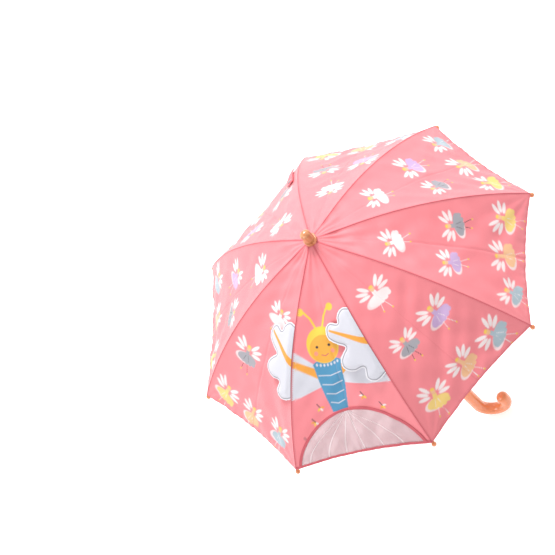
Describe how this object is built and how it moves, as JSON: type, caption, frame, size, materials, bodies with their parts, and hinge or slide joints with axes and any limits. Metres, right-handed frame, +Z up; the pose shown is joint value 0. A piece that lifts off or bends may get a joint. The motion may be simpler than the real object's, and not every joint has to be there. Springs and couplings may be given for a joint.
{
  "type": "children's umbrella",
  "caption": "Child's stick umbrella with a domed folding canopy, clear front window, two padded wing flaps, sliding runner and crook handle.",
  "frame": {"origin": "middle of the straight grip, on the shaft's axis", "axes": "+Z up the shaft to the finial; +X the way the crook turns; the window faces -Y"},
  "size_m": [0.62, 0.62, 0.7251],
  "materials": {
    "steel": "bright zinc plated",
    "shaft_steel": "plated tube",
    "peach_plastic": "glossy peach plastic",
    "frame_plastic": "moulded white plastic",
    "pink_fabric": "thin woven polyester with a print",
    "wing_fabric": "padded silver-white fabric",
    "window_film": "clear flexible sheet with pale printed lines"
  },
  "bodies": {
    "shaft_and_handle": {"shaft": "shaft_steel", "handle": "peach_plastic", "handle_pin": "steel", "finial": "peach_plastic", "crown": "frame_plastic", "crown_wire": "steel", "catch_pins": "steel"},
    "runner": {"runner": "frame_plastic"},
    "top_catch": {"top_catch": "steel"},
    "lower_catch": {"lower_catch": "steel"},
    "rib_1_panel": {"rib_1": "steel", "rib_tip_1": "peach_plastic", "rivet_1": "steel", "canopy_1": "pink_fabric", "window_left": "window_film"},
    "stretcher_1": {"stretcher_1": "steel"},
    "rib_2_panel": {"rib_2": "steel", "rib_tip_2": "peach_plastic", "rivet_2": "steel", "canopy_2": "pink_fabric", "window_right": "window_film"},
    "stretcher_2": {"stretcher_2": "steel"},
    "rib_3_panel": {"rib_3": "steel", "rib_tip_3": "peach_plastic", "rivet_3": "steel", "canopy_3": "pink_fabric"},
    "stretcher_3": {"stretcher_3": "steel"},
    "rib_4_panel": {"rib_4": "steel", "rib_tip_4": "peach_plastic", "rivet_4": "steel", "canopy_4": "pink_fabric"},
    "stretcher_4": {"stretcher_4": "steel"},
    "rib_5_panel": {"rib_5": "steel", "rib_tip_5": "peach_plastic", "rivet_5": "steel", "canopy_5": "pink_fabric"},
    "stretcher_5": {"stretcher_5": "steel"},
    "rib_6_panel": {"rib_6": "steel", "rib_tip_6": "peach_plastic", "rivet_6": "steel", "canopy_6": "pink_fabric", "strap": "pink_fabric", "strap_snap": "steel"},
    "stretcher_6": {"stretcher_6": "steel"},
    "rib_7_panel": {"rib_7": "steel", "rib_tip_7": "peach_plastic", "rivet_7": "steel", "canopy_7": "pink_fabric"},
    "stretcher_7": {"stretcher_7": "steel"},
    "rib_8_panel": {"rib_8": "steel", "rib_tip_8": "peach_plastic", "rivet_8": "steel", "canopy_8": "pink_fabric"},
    "stretcher_8": {"stretcher_8": "steel"},
    "wing_left": {"wing_left": "wing_fabric"},
    "wing_right": {"wing_right": "wing_fabric"}
  },
  "joints": [
    {"name": "runner_slide", "type": "slide", "parent": "shaft_and_handle", "child": "runner", "axis": [0, 0, 1], "range_m": [-0.20354, 0], "deforming": ["top_catch", "lower_catch"]},
    {"name": "rib_1_fold", "type": "hinge", "parent": "shaft_and_handle", "child": "rib_1_panel", "pos_m": [-0.00383, -0.00924, 0.613], "axis": [0.9239, -0.3827, 0], "range_deg": [0, 53.02], "deforming": ["canopy_1", "window_left"]},
    {"name": "stretcher_1_turn", "type": "hinge", "parent": "rib_1_panel", "child": "stretcher_1", "pos_m": [-0.0652, -0.1574, 0.54693], "axis": [0.9239, -0.3827, 0], "range_deg": [-106.04, 0]},
    {"name": "rib_2_fold", "type": "hinge", "parent": "shaft_and_handle", "child": "rib_2_panel", "pos_m": [0.00383, -0.00924, 0.613], "axis": [0.9239, 0.3827, 0], "range_deg": [0, 53.02], "deforming": ["canopy_2", "window_right"]},
    {"name": "stretcher_2_turn", "type": "hinge", "parent": "rib_2_panel", "child": "stretcher_2", "pos_m": [0.0652, -0.1574, 0.54693], "axis": [0.9239, 0.3827, 0], "range_deg": [-106.04, 0]},
    {"name": "rib_3_fold", "type": "hinge", "parent": "shaft_and_handle", "child": "rib_3_panel", "pos_m": [0.00924, -0.00383, 0.613], "axis": [0.3827, 0.9239, 0], "range_deg": [0, 53.02], "deforming": ["canopy_3"]},
    {"name": "stretcher_3_turn", "type": "hinge", "parent": "rib_3_panel", "child": "stretcher_3", "pos_m": [0.1574, -0.0652, 0.54693], "axis": [0.3827, 0.9239, 0], "range_deg": [-106.04, 0]},
    {"name": "rib_4_fold", "type": "hinge", "parent": "shaft_and_handle", "child": "rib_4_panel", "pos_m": [0.00924, 0.00383, 0.613], "axis": [-0.3827, 0.9239, 0], "range_deg": [0, 53.02], "deforming": ["canopy_4"]},
    {"name": "stretcher_4_turn", "type": "hinge", "parent": "rib_4_panel", "child": "stretcher_4", "pos_m": [0.1574, 0.0652, 0.54693], "axis": [-0.3827, 0.9239, 0], "range_deg": [-106.04, 0]},
    {"name": "rib_5_fold", "type": "hinge", "parent": "shaft_and_handle", "child": "rib_5_panel", "pos_m": [0.00383, 0.00924, 0.613], "axis": [-0.9239, 0.3827, 0], "range_deg": [0, 53.02], "deforming": ["canopy_5"]},
    {"name": "stretcher_5_turn", "type": "hinge", "parent": "rib_5_panel", "child": "stretcher_5", "pos_m": [0.0652, 0.1574, 0.54693], "axis": [-0.9239, 0.3827, 0], "range_deg": [-106.04, 0]},
    {"name": "rib_6_fold", "type": "hinge", "parent": "shaft_and_handle", "child": "rib_6_panel", "pos_m": [-0.00383, 0.00924, 0.613], "axis": [-0.9239, -0.3827, 0], "range_deg": [0, 53.02], "deforming": ["canopy_6", "strap", "strap_snap"]},
    {"name": "stretcher_6_turn", "type": "hinge", "parent": "rib_6_panel", "child": "stretcher_6", "pos_m": [-0.0652, 0.1574, 0.54693], "axis": [-0.9239, -0.3827, 0], "range_deg": [-106.04, 0]},
    {"name": "rib_7_fold", "type": "hinge", "parent": "shaft_and_handle", "child": "rib_7_panel", "pos_m": [-0.00924, 0.00383, 0.613], "axis": [-0.3827, -0.9239, 0], "range_deg": [0, 53.02], "deforming": ["canopy_7"]},
    {"name": "stretcher_7_turn", "type": "hinge", "parent": "rib_7_panel", "child": "stretcher_7", "pos_m": [-0.1574, 0.0652, 0.54693], "axis": [-0.3827, -0.9239, 0], "range_deg": [-106.04, 0]},
    {"name": "rib_8_fold", "type": "hinge", "parent": "shaft_and_handle", "child": "rib_8_panel", "pos_m": [-0.00924, -0.00383, 0.613], "axis": [0.3827, -0.9239, 0], "range_deg": [0, 53.02], "deforming": ["canopy_8"]},
    {"name": "stretcher_8_turn", "type": "hinge", "parent": "rib_8_panel", "child": "stretcher_8", "pos_m": [-0.1574, -0.0652, 0.54693], "axis": [0.3827, -0.9239, 0], "range_deg": [-106.04, 0]},
    {"name": "wing_left_open", "type": "hinge", "parent": "rib_1_panel", "child": "wing_left", "pos_m": [-0.07282, -0.17579, 0.54215], "axis": [0.3222, 0.7779, 0.5394], "range_deg": [0, 125]},
    {"name": "wing_right_open", "type": "hinge", "parent": "rib_2_panel", "child": "wing_right", "pos_m": [0.06901, -0.16661, 0.54838], "axis": [-0.3262, 0.7875, 0.5229], "range_deg": [0, 148]},
    {"name": "top_catch_press", "type": "hinge", "parent": "shaft_and_handle", "child": "top_catch", "pos_m": [0, -0.0016, 0.41776], "axis": [-1, 0, 0], "range_deg": [0, 6.5], "stiffness_Nm_per_rad": 0.3, "springref_deg": -11.46},
    {"name": "lower_catch_press", "type": "hinge", "parent": "shaft_and_handle", "child": "lower_catch", "pos_m": [0, -0.0016, 0.30082], "axis": [1, 0, 0], "range_deg": [0, 6.5], "stiffness_Nm_per_rad": 0.3, "springref_deg": -11.46}
  ],
  "couplings": [
    {"joint": "rib_1_fold", "follows": "runner_slide", "rad_per_m": -4.5446},
    {"joint": "stretcher_1_turn", "follows": "runner_slide", "rad_per_m": 9.0892},
    {"joint": "rib_2_fold", "follows": "runner_slide", "rad_per_m": -4.5446},
    {"joint": "stretcher_2_turn", "follows": "runner_slide", "rad_per_m": 9.0892},
    {"joint": "rib_3_fold", "follows": "runner_slide", "rad_per_m": -4.5446},
    {"joint": "stretcher_3_turn", "follows": "runner_slide", "rad_per_m": 9.0892},
    {"joint": "rib_4_fold", "follows": "runner_slide", "rad_per_m": -4.5446},
    {"joint": "stretcher_4_turn", "follows": "runner_slide", "rad_per_m": 9.0892},
    {"joint": "rib_5_fold", "follows": "runner_slide", "rad_per_m": -4.5446},
    {"joint": "stretcher_5_turn", "follows": "runner_slide", "rad_per_m": 9.0892},
    {"joint": "rib_6_fold", "follows": "runner_slide", "rad_per_m": -4.5446},
    {"joint": "stretcher_6_turn", "follows": "runner_slide", "rad_per_m": 9.0892},
    {"joint": "rib_7_fold", "follows": "runner_slide", "rad_per_m": -4.5446},
    {"joint": "stretcher_7_turn", "follows": "runner_slide", "rad_per_m": 9.0892},
    {"joint": "rib_8_fold", "follows": "runner_slide", "rad_per_m": -4.5446},
    {"joint": "stretcher_8_turn", "follows": "runner_slide", "rad_per_m": 9.0892}
  ]
}
